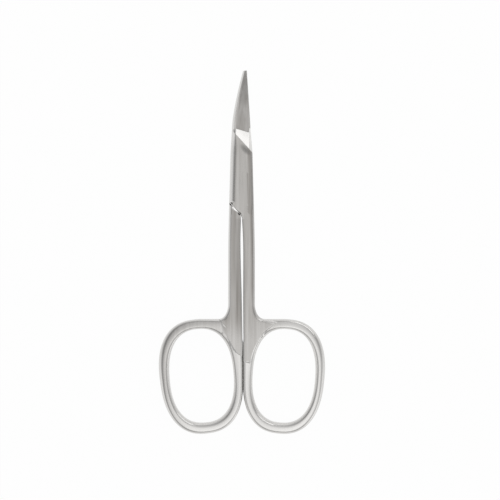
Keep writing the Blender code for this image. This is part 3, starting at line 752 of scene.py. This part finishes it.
def lap_cutter():
    """Block that clears the room of the other half's leaf, with a chamfer widest near its outer end."""
    low = Vector((SHOULDER_INNER_SIDE, -SHOULDER_INNER))
    high = Vector((outer_side(SHOULDER_OUTER), -SHOULDER_OUTER))
    length = (high - low).length
    along = (high - low).normalized()
    back = Vector((along.y, -along.x))
    side = 2 * JOINT_HALF_WIDTH
    rings = []
    for level, sunk, kept in ((-LEAF_TOP - OVERCUT, 0.0, 1.0), (-LEAF_TOP, 0.0, 1.0), (-LEAF_TOP, 1.0, 0.0),
                              (LEAF_FLOOR, 0.0, 0.0)):
        overcut = -LEAF_TOP - min(level, -LEAF_TOP)
        edge = []
        for step in range(SHOULDER_STEPS + 1):
            reach = between(-SHOULDER_OVERRUN, length + SHOULDER_OVERRUN, step / SHOULDER_STEPS)
            leaning = limited(reach / length) ** SHOULDER_CHAMFER_LEANING
            bulge = math.sin(math.pi * leaning) ** SHOULDER_CHAMFER_POWER
            width = SHOULDER_CHAMFER_LEAST + SHOULDER_CHAMFER_WIDTH * bulge
            inset = SHOULDER_GAP + kept * width + overcut / SHOULDER_CHAMFER_SLOPE
            spot = low + along * reach + back * inset
            edge.append(Vector((spot.x, spot.y, level + sunk * width * SHOULDER_CHAMFER_SLOPE)))
        first, last = edge[0], edge[-1]
        rings.append([Vector((-side, first.y, first.z)), *edge, Vector((side, last.y, last.z)),
                      Vector((side, JOINT_LEAF_END, last.z)), Vector((-side, JOINT_LEAF_END, first.z))])
    return add_object("lap_cutter", lofted("lap_cutter", rings))


def nick_cutter(facing):
    """Small pointed nicks at both ends of the shoulder, where the leaf's corners are broken."""
    shape = bmesh.new()
    tilt = Matrix.Rotation(0.0 if facing > 0 else math.pi, 4, "X")
    for nick in SHOULDER_NICKS:
        mouth = NICK_RADIUS + (NICK_RADIUS - nick.tip) * NICK_OVERCUT / nick.depth
        middle = LEAF_TOP + NICK_OVERCUT - (nick.depth + NICK_OVERCUT) / 2
        place = Matrix.Translation((facing * nick.across, nick.along, facing * middle))
        bmesh.ops.create_cone(shape, cap_ends=True, segments=NICK_SIDES, radius1=nick.tip, radius2=mouth,
                              depth=nick.depth + NICK_OVERCUT, matrix=place @ tilt)
    return add_object("nick_cutter", mesh_of(shape, "nick_cutter"))


def bore_cutter():
    """The screw's countersunk hole, blind in the front leaf."""
    end = THICKNESS - FRONT_SKIN
    shank = SCREW_RADIUS + RUNNING_CLEARANCE
    head = HEAD_RADIUS + RUNNING_CLEARANCE
    mouth = head + BORE_CHAMFER
    profile = ((0.0, end), (shank, end), (shank, HEAD_NECK), (head, HEAD_RIM), (head, 0.0),
               (mouth, -BORE_CHAMFER), (mouth, -OVERCUT), (0.0, -OVERCUT))
    item = add_object("bore_cutter", lathed("bore_cutter", profile))
    item.matrix_world = Matrix.Translation((PIVOT.x, PIVOT.y, 0.0))
    return item


def bar_satin(across, along, facing, bow):
    """The rear bow is duller along its top and outer side, and the front one only beside its web."""
    turn = math.atan2((along - bow.centre.y) / bow.rim[1], (across - bow.centre.x) / bow.rim[0])
    if facing < 0:
        swing = REAR_BAR_SATIN_SWING * math.cos(turn - REAR_BAR_SATIN_TURN)
        return BAR_SATIN * limited(REAR_BAR_SATIN_MIDDLE + swing)
    return BAR_SATIN * max(0.0, 1 - abs(turn - FRONT_BAR_SATIN_TURN) / FRONT_BAR_SATIN_REACH)


def ground_share(across, along, depth, lean, upright, facing, bow):
    """How far a spot is satin-ground: 1 on the flats, less towards the bow, 0 where it is polished; on the
    front half's rounded right flank it goes past 1, which paints shade there.
    """
    ridge_left = JOINT_TAPER * RIDGE_SPINE - JOINT_HALF_WIDTH
    side_share = (across - ridge_left) / (EDGE_ROOT - ridge_left)
    if along > between(RAMP_END_SPINE, RAMP_END_EDGE, side_share) - MARK_MARGIN:
        return 0.0 if lean < BEVEL_LEAN else limited((upright - BLADE_SATIN_FROM) / BLADE_SATIN_FADE)
    if along > between(RIDGE_SPINE, RIDGE_EDGE, side_share) + MARK_MARGIN:
        return 0.0
    rounded = depth > FLAT_DEPTH or upright < FLAT_UPRIGHT
    if facing > 0 and across > FLANK_FROM and along > bow.top + MARK_MARGIN and rounded:
        above_flare = limited((along - bow.top - FLARE_HEIGHT) / FLARE_FAN)
        # The rounded right flank is ground, and past the ground steel it is painted darker still: painted
        # shade.
        return between(FLARE_SATIN, FLANK_SATIN_AND_SHADE, above_flare) if depth < SIDE_ROUND[1] else 1.0
    bar_depth, bar_upright = BAR_SATIN_LIMITS
    if along < bow.top and upright > bar_upright and depth > bar_depth:
        return bar_satin(across, along, facing, bow)
    if along > -SHOULDER_OUTER:
        deepest, least_upright = JOINT_SATIN_LIMITS
    elif along > -SHOULDER_INNER:
        deepest, least_upright = SHOULDER_SATIN_LIMITS
    else:
        deepest, least_upright = SHANK_SATIN_LIMITS
    if depth > deepest or upright < least_upright:
        return 0.0
    fade = limited((-along - WEB_SATIN_FADE[0]) / (WEB_SATIN_FADE[1] - WEB_SATIN_FADE[0]))
    return between(FRONT_SATIN if facing > 0 else REAR_SATIN, WEB_SATIN_SHARE, fade * fade * (3 - 2 * fade))


def painted_shade_share(across, along, facing):
    """Painted shade beside the slit and in the groove where the bows meet, in the shoulder's nicks and below
    the ridge.
    """
    height = -along
    # Painted shade along the slit's edges and in the groove where the bows meet, with a broad band of it on
    # the rear half.
    if SLIT_START < height < SLIT_END + SLIT_PAINTED_SHADE_LENGTH:
        inside = across - slit_side(height, facing).x
        closing = limited((height - SLIT_END) / SLIT_CLOSING + 1)
        at_contact = CONTACT_PAINTED_SHADE * max(0.0, 1 - max(0.0, height - SLIT_END) / CONTACT_PAINTED_SHADE_FADE)
        near = between(SLIT_PAINTED_SHADE, at_contact, closing)
        near *= limited(SLIT_PAINTED_SHADE_FULLNESS - inside / SLIT_PAINTED_SHADE_WIDTH)
        if facing > 0:
            return near
        fading = limited((BROAD_PAINTED_SHADE_END - height) / BROAD_PAINTED_SHADE_FADE)
        return max(near, BROAD_PAINTED_SHADE * limited(1 - inside / BROAD_PAINTED_SHADE_WIDTH) * fading)
    place = Vector((facing * across, along))
    # Painted shade in the shoulder's nicks.
    nearest = min((place - Vector((nick.across, nick.along))).length for nick in SHOULDER_NICKS)
    if nearest < NICK_RADIUS:
        return NICK_PAINTED_SHADE * min(NICK_PAINTED_SHADE_SPREAD * (1 - nearest / NICK_RADIUS), 1.0)
    if facing < 0:
        return 0.0
    # Painted shade in a patch below the ridge's right end.
    offset = Vector((across, along)) - Vector(RIDGE_PAINTED_SHADE_PLACE)
    ridge_left = Vector((JOINT_TAPER * RIDGE_SPINE - JOINT_HALF_WIDTH, RIDGE_SPINE))
    ridge = (Vector((EDGE_ROOT, RIDGE_EDGE)) - ridge_left).normalized()
    lengthwise = offset.dot(ridge) / RIDGE_PAINTED_SHADE_SIZE[0]
    crosswise = offset.dot(ridge.orthogonal()) / RIDGE_PAINTED_SHADE_SIZE[1]
    return RIDGE_PAINTED_SHADE * max(0.0, 1 - lengthwise ** 2 - crosswise ** 2)


def add_marks(mesh, facing, bow):
    """Mark what is satin-ground, what is a rubbed edge and where shade is painted, for the finish to read."""
    ground = mesh.attributes.new("ground", "FLOAT", "CORNER")
    edge = mesh.attributes.new("edge", "FLOAT", "POINT")
    painted_shade = mesh.attributes.new("painted_shade", "FLOAT", "POINT")
    spots = []
    for vertex in mesh.vertices:
        across, along = facing * (vertex.co.x - PIVOT.x), vertex.co.y - PIVOT.y
        spots.append((across, along, LEAF_TOP - abs(vertex.co.z - PIVOT.z)))
        upright = abs(vertex.normal.z)
        # Painted shade, set by where each vertex lies.
        painted_shade.data[vertex.index].value = painted_shade_share(across, along, facing)
        edge.data[vertex.index].value = 0.0 if along < bow.top else EDGE_RUBBING * upright * (1 - upright)
    for face in mesh.polygons:
        upright = abs(face.normal.z)
        lean = facing * face.normal.x if facing * face.normal.z > 0 else 0.0
        for corner_index in face.loop_indices:
            spot = spots[mesh.loops[corner_index].vertex_index]
            ground.data[corner_index].value = ground_share(*spot, lean, upright, facing, bow)


def scissor_half(name, facing, bow, spine_line, edge_line, web, finish):
    """One half: a strip from the tip to the web, joined to its bow, with lap, bore and nicks cut."""
    stations = blade_stations(spine_line, edge_line)
    stations += joint_stations(stations[-1], spine_line[0], edge_line[0])
    stations += shank_stations(facing, bow) + web_stations(facing, bow, web)
    turn = Matrix.Rotation(0.0 if facing > 0 else math.pi, 4, "Y")
    place = Matrix.Translation(PIVOT) @ turn
    rings = [section_points(section, facing) for section in stations]
    strip = add_object(name + "_strip", lofted(name, rings))
    strip.data.materials.append(finish)
    strip.matrix_world = place
    ring = add_object(name + "_bow", bow_mesh(bow, name + "_bow", finish))
    ring.matrix_world = place
    lap = lap_cutter()
    lap.matrix_world = place
    bore = bore_cutter()
    nicks = nick_cutter(facing)
    nicks.matrix_world = place
    cuts = ((lap, "DIFFERENCE"), (ring, "UNION"), (bore, "DIFFERENCE"), (nicks, "DIFFERENCE"))
    for tool, operation in cuts:
        modifier = strip.modifiers.new(tool.name, "BOOLEAN")
        modifier.operation = operation
        modifier.solver = "EXACT"
        modifier.object = tool
    mesh = plain_mesh(strip, name)
    mesh.transform(place)
    for tool in (lap, ring, bore, nicks, strip):
        bpy.data.objects.remove(tool, do_unlink=True)
    mesh.shade_smooth()
    mesh.set_sharp_from_angle(angle=SHARP_ANGLE)
    add_marks(mesh, facing, bow)
    return add_object(name, mesh)


front_bow = Bow(hole_width=0.01548, inner_bar=0.00225, outer_bar=0.00235, hole_lean=math.radians(3.6),
                rim_lean=math.radians(5.6), facing=1)
front_web = Web(flat_end=0.0444, start_turn=math.radians(117), end_turn=math.radians(174), side_round=0.0007,
                end_round=0.0009, point_reach=0.0034, point_depth=0.0007)
front_piece = scissor_half("front_scissor_half", facing=1, bow=front_bow, spine_line=(-0.00236, 0.0004, 1.4),
                           edge_line=(EDGE_ROOT, 0.0013, 1.7), web=front_web, finish=halves_steel)
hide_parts("front_half")
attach(front_piece, "front")


# Rear half
# The second forging, turned half a turn about the scissors' length: its shank and bow are on the left, and
# its leaf and blade lie behind the front ones, a little to one side, so that a bright strip of the blade
# shows.
rear_bow = Bow(hole_width=0.01585, inner_bar=0.0021, outer_bar=0.0025, hole_lean=math.radians(4.4),
               rim_lean=math.radians(7.4), facing=-1)
rear_web = Web(flat_end=0.0431, start_turn=math.radians(129), end_turn=math.radians(158), side_round=0.0013,
               end_round=0.0026, point_reach=-0.0004, point_depth=0.0013)
rear_piece = scissor_half("rear_scissor_half", facing=-1, bow=rear_bow, spine_line=(-0.00222, -0.00136, 1.1),
                          edge_line=(0.00205, -0.0007, 1.7), web=rear_web, finish=halves_steel)
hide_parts("rear_half")
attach(rear_piece, "rear")


# Pivot screw
# A turned, countersunk and slotted steel screw. It is put in from the back and ends blind in the front leaf,
# so only its head shows, a hair below the rear leaf.
SCREW_POLISHED = (0.56, 0.55, 0.54, 1.0)
SCREW_TURNED = (0.44, 0.435, 0.425, 1.0)
SCREW_RUBBED = (0.66, 0.65, 0.64, 1.0)
SCREW_END = 0.00282
SCREW_CHAMFER = 0.00008
HEAD_FACE = 0.00006
HEAD_BREAK = 0.00004
SLOT_WIDTH = 0.00045
SLOT_REACH = 0.008
SLOT_HEIGHT = 0.00135
SLOT_TOP = 0.00041
screw_finish = steel_finish("screw_steel", SCREW_POLISHED, SCREW_TURNED, SCREW_RUBBED)


def slotted_screw():
    """The screw, turned from its profile and then slotted across its head."""
    profile = ((0.0, SCREW_END), (SCREW_RADIUS - SCREW_CHAMFER, SCREW_END),
               (SCREW_RADIUS, SCREW_END - SCREW_CHAMFER), (SCREW_RADIUS, HEAD_NECK), (HEAD_RADIUS, HEAD_RIM),
               (HEAD_RADIUS, HEAD_FACE + HEAD_BREAK), (HEAD_RADIUS - HEAD_BREAK, HEAD_FACE), (0.0, HEAD_FACE))
    mesh = lathed("slotted_screw", profile)
    mesh.materials.append(screw_finish)
    body = add_object("slotted_screw_body", mesh)
    block = bmesh.new()
    bmesh.ops.create_cube(block, size=1.0)
    bmesh.ops.scale(block, verts=block.verts, vec=(SLOT_WIDTH, SLOT_REACH, SLOT_HEIGHT))
    bmesh.ops.translate(block, verts=block.verts, vec=(0.0, 0.0, SLOT_TOP - SLOT_HEIGHT / 2))
    slot = add_object("slot", mesh_of(block, "slot"))
    cut = body.modifiers.new("Slot", "BOOLEAN")
    cut.operation = "DIFFERENCE"
    cut.solver = "EXACT"
    cut.object = slot
    cut_mesh = plain_mesh(body, "slotted_screw")
    cut_mesh.transform(Matrix.Translation((PIVOT.x, PIVOT.y, 0.0)))
    for item in (body, slot):
        bpy.data.objects.remove(item, do_unlink=True)
    cut_mesh.shade_smooth()
    cut_mesh.set_sharp_from_angle(angle=SHARP_ANGLE)
    for label in ("ground", "edge", "painted_shade"):
        cut_mesh.attributes.new(label, "FLOAT", "POINT")
    return add_object("slotted_screw", cut_mesh)


screw_piece = slotted_screw()
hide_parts("pivot_screw")
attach(screw_piece, "front")


# Camera
# Straight above the scissors, as in the photograph, which is 124 mm wide at the height of the shanks.
FRAME_WIDTH = 0.1239
CAMERA_PLACE = (0.001995, 0.00064)
lens = bpy.data.cameras.new("camera")
lens.lens = 300.0
lens.sensor_width = 36.0
lens.clip_start = 0.01
camera = bpy.data.objects.new("camera", lens)
bpy.context.scene.collection.objects.link(camera)
camera.location = (*CAMERA_PLACE, THICKNESS + FRAME_WIDTH * lens.lens / lens.sensor_width)
bpy.context.scene.camera = camera


# Floor
# A plain white sheet. It keeps the scissors' faint shadow and otherwise meets the white of the background.
FLOOR_SIZE = 1.6
FLOOR_DROP = 0.00005
SHEET_COLOUR = (0.88, 0.88, 0.88, 1.0)
WHITE_SHARE = 0.97
floor_shape = bmesh.new()
bmesh.ops.create_grid(floor_shape, x_segments=1, y_segments=1, size=FLOOR_SIZE / 2)
floor = add_object("floor", mesh_of(floor_shape, "floor"))
floor.location.z = -FLOOR_DROP
floor_material = bpy.data.materials.new("white_sheet")
floor_material.use_nodes = True
floor_nodes, floor_links = floor_material.node_tree.nodes, floor_material.node_tree.links
sheet = floor_nodes["Principled BSDF"]
sheet.inputs["Base Color"].default_value = SHEET_COLOUR
sheet.inputs["Roughness"].default_value = 0.9
sheet.inputs["Specular IOR Level"].default_value = 0.0
path = floor_nodes.new("ShaderNodeLightPath")
seen = floor_nodes.new("ShaderNodeMath")
seen.operation = "MAXIMUM"
floor_links.new(path.outputs["Is Camera Ray"], seen.inputs[0])
floor_links.new(path.outputs["Is Glossy Ray"], seen.inputs[1])
share = floor_nodes.new("ShaderNodeMath")
share.operation = "MULTIPLY"
share.inputs[1].default_value = WHITE_SHARE
floor_links.new(seen.outputs[0], share.inputs[0])
white = floor_nodes.new("ShaderNodeEmission")
blend = floor_nodes.new("ShaderNodeMixShader")
floor_links.new(share.outputs[0], blend.inputs[0])
floor_links.new(sheet.outputs[0], blend.inputs[1])
floor_links.new(white.outputs[0], blend.inputs[2])
floor_links.new(blend.outputs[0], floor_nodes["Material Output"].inputs["Surface"])
floor.data.materials.append(floor_material)


# Light
# A pale tent over the scissors: bright overhead, darker in a ring round that, and pale again near the floor.
# Its level also changes a little along and across the scissors. Two soft lamps stand beyond the tips, and the
# stronger one, at the right, lights the ramp, the shoulder's chamfer and the right bow's rim.
LAMP_DISTANCE = 0.6
LAMP_POWER = 4
STOP_SCALE = 2.0
TENT_HEIGHT = ((-90, 1.0), (0, 1.0), (22, 0.92), (33, 0.5), (57, 0.5), (66, 1.0), (90, 1.0))
TENT_ACROSS = ((-90, 0.95), (-60, 0.95), (-22, 0.82), (-9, 0.98), (0, 1.12), (10, 1.12), (21, 0.88),
               (33, 1.1), (50, 1.25), (90, 1.0))
TENT_ALONG = ((-90, 1.0), (-60, 1.0), (-22, 1.25), (-9, 1.15), (0, 1.04), (8, 0.86), (14, 0.75),
              (24, 0.78), (60, 1.0), (90, 1.0))
world = bpy.data.worlds.new("tent")
bpy.context.scene.world = world
world.use_nodes = True
tent_nodes, tent_links = world.node_tree.nodes, world.node_tree.links
direction = tent_nodes.new("ShaderNodeSeparateXYZ")
tent_links.new(tent_nodes.new("ShaderNodeTexCoord").outputs["Generated"], direction.inputs[0])


def tent_level(axis, stops):
    """Level of the tent by the angle that a direction makes with the plane square to one axis, in degrees."""
    lean = tent_nodes.new("ShaderNodeMapRange")
    lean.inputs["From Min"].default_value = -1.0
    tent_links.new(direction.outputs[axis], lean.inputs["Value"])
    ramp = tent_nodes.new("ShaderNodeValToRGB")
    stops = [((math.sin(math.radians(angle)) + 1) / 2, level / STOP_SCALE) for angle, level in stops]
    elements = ramp.color_ramp.elements
    for element, (position, level) in zip((elements[0], elements[-1]), (stops[0], stops[-1])):
        element.position = position
        element.color = (level, level, level, 1.0)
    for position, level in stops[1:-1]:
        elements.new(position).color = (level, level, level, 1.0)
    tent_links.new(lean.outputs["Result"], ramp.inputs["Fac"])
    return ramp.outputs["Color"]


def tent_product(first, second, scale):
    product = tent_nodes.new("ShaderNodeVectorMath")
    product.operation = "MULTIPLY"
    scaled = tent_nodes.new("ShaderNodeVectorMath")
    scaled.operation = "SCALE"
    scaled.inputs["Scale"].default_value = scale
    for socket, colour in zip(product.inputs, (first, second)):
        tent_links.new(colour, socket)
    tent_links.new(product.outputs[0], scaled.inputs[0])
    return scaled.outputs[0]


cloth = tent_product(tent_level("X", TENT_ACROSS), tent_level("Y", TENT_ALONG), STOP_SCALE ** 2)
full = tent_product(cloth, tent_level("Z", TENT_HEIGHT), STOP_SCALE)
view = tent_nodes.new("ShaderNodeLightPath")
shown = tent_nodes.new("ShaderNodeMix")
shown.data_type = "RGBA"
shown.inputs[7].default_value = (1.0, 1.0, 1.0, 1.0)
tent_links.new(view.outputs["Is Camera Ray"], shown.inputs[0])
tent_links.new(full, shown.inputs[6])
tent_links.new(shown.outputs[2], tent_nodes["Background"].inputs["Color"])


def soft_lamp(name, towards, width, length, radiance):
    """A large soft lamp that shines on the scissors from a direction."""
    light = bpy.data.lights.new(name, "AREA")
    light.shape = "RECTANGLE"
    light.size = width
    light.size_y = length
    light.energy = LAMP_POWER * radiance * width * length
    lamp = bpy.data.objects.new(name, light)
    bpy.context.scene.collection.objects.link(lamp)
    lamp.location = towards.normalized() * LAMP_DISTANCE
    lamp.rotation_euler = towards.to_track_quat("Z", "Y").to_euler()
    lamp.visible_camera = False


soft_lamp("far_lamp", towards=Vector((-0.1, 0.67, 0.74)), width=0.6, length=0.24, radiance=0.1)
soft_lamp("right_lamp", towards=Vector((0.42, 0.56, 0.71)), width=0.36, length=0.2, radiance=0.85)
bpy.context.scene.view_settings.view_transform = "Standard"
